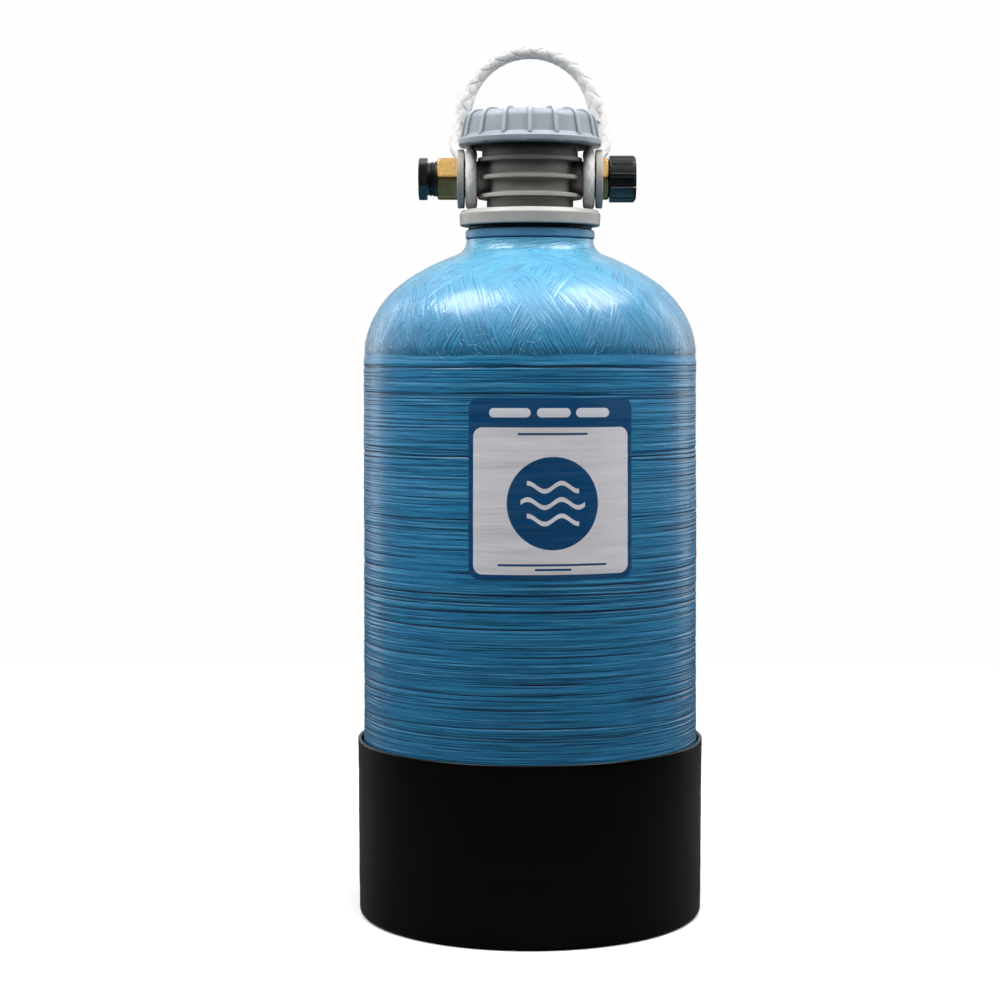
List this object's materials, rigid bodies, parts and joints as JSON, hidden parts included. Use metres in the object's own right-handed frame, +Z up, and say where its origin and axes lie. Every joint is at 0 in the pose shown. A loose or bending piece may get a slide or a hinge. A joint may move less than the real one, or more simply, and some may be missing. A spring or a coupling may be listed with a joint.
{
  "type": "portable in-line water softener tank",
  "caption": "Tall wound fibreglass media tank in a black boot, with a finned in/out head, ribbed screw fill cap, brass hose fittings and a braided rope handle.",
  "frame": {"origin": "centre of the boot's underside", "axes": "+Z up along the tank's axis; -Y is the front, where the label is; the ports lie on a line along X, inlet towards +X and outlet towards -X"},
  "size_m": [0.2376, 0.2376, 0.6028],
  "materials": {
    "boot": "satin moulded",
    "tank_liner": "natural polyethylene",
    "tank_wrap": "wound glass fibre in blue resin",
    "neck_fitting": "satin moulded",
    "neck_oring": "moulded rubber",
    "head_body": "satin moulded",
    "cap": "satin moulded",
    "cap_oring": "moulded rubber",
    "inlet_adapter": "machined",
    "inlet_nut": "moulded",
    "hose_washer": "moulded rubber",
    "outlet_adapter": "machined",
    "outlet_plug": "moulded",
    "plug_washer": "moulded rubber",
    "riser_tube": "extruded",
    "riser_oring": "moulded rubber",
    "lower_basket": "moulded",
    "resin_bed": "small wet beads",
    "rope_handle": "braided polypropylene",
    "label": "printed film"
  },
  "bodies": {
    "tank": {"boot": "boot", "tank_liner": "tank_liner", "tank_wrap": "tank_wrap", "neck_fitting": "neck_fitting", "neck_oring": "neck_oring", "head_body": "head_body", "inlet_adapter": "inlet_adapter", "outlet_adapter": "outlet_adapter", "riser_tube": "riser_tube", "riser_oring": "riser_oring", "lower_basket": "lower_basket", "resin_bed": "resin_bed", "label": "label"},
    "cap_seal": {"cap_oring": "cap_oring"},
    "cap": {"cap": "cap"},
    "plug_seal": {"plug_washer": "plug_washer"},
    "plug": {"outlet_plug": "outlet_plug"},
    "nut": {"inlet_nut": "inlet_nut", "hose_washer": "hose_washer"},
    "handle": {"rope_handle": "rope_handle"}
  },
  "joints": [
    {"name": "cap_lift", "type": "slide", "parent": "tank", "child": "cap_seal", "axis": [0, 0, 1], "range_m": [0, 0.0108]},
    {"name": "cap_turn", "type": "hinge", "parent": "cap_seal", "child": "cap", "pos_m": [0, 0, 0.54], "axis": [0, 0, 1], "range_deg": [0, 1081]},
    {"name": "plug_out", "type": "slide", "parent": "tank", "child": "plug_seal", "axis": [-1, 0, 0], "range_m": [0, 0.0132]},
    {"name": "plug_turn", "type": "hinge", "parent": "plug_seal", "child": "plug", "pos_m": [-0.0745, 0, 0.504], "axis": [-1, 0, 0], "range_deg": [0, 2161]},
    {"name": "nut_spin", "type": "hinge", "parent": "tank", "child": "nut", "pos_m": [0.064, 0, 0.504], "axis": [1, 0, 0], "continuous": true},
    {"name": "handle_swing", "type": "hinge", "parent": "tank", "child": "handle", "pos_m": [0, 0, 0.504], "axis": [1, 0, 0], "range_deg": [-60, 1.5]}
  ],
  "couplings": [
    {"joint": "cap_turn", "follows": "cap_lift", "rad_per_m": 1745.3},
    {"joint": "plug_turn", "follows": "plug_out", "rad_per_m": 2856}
  ]
}
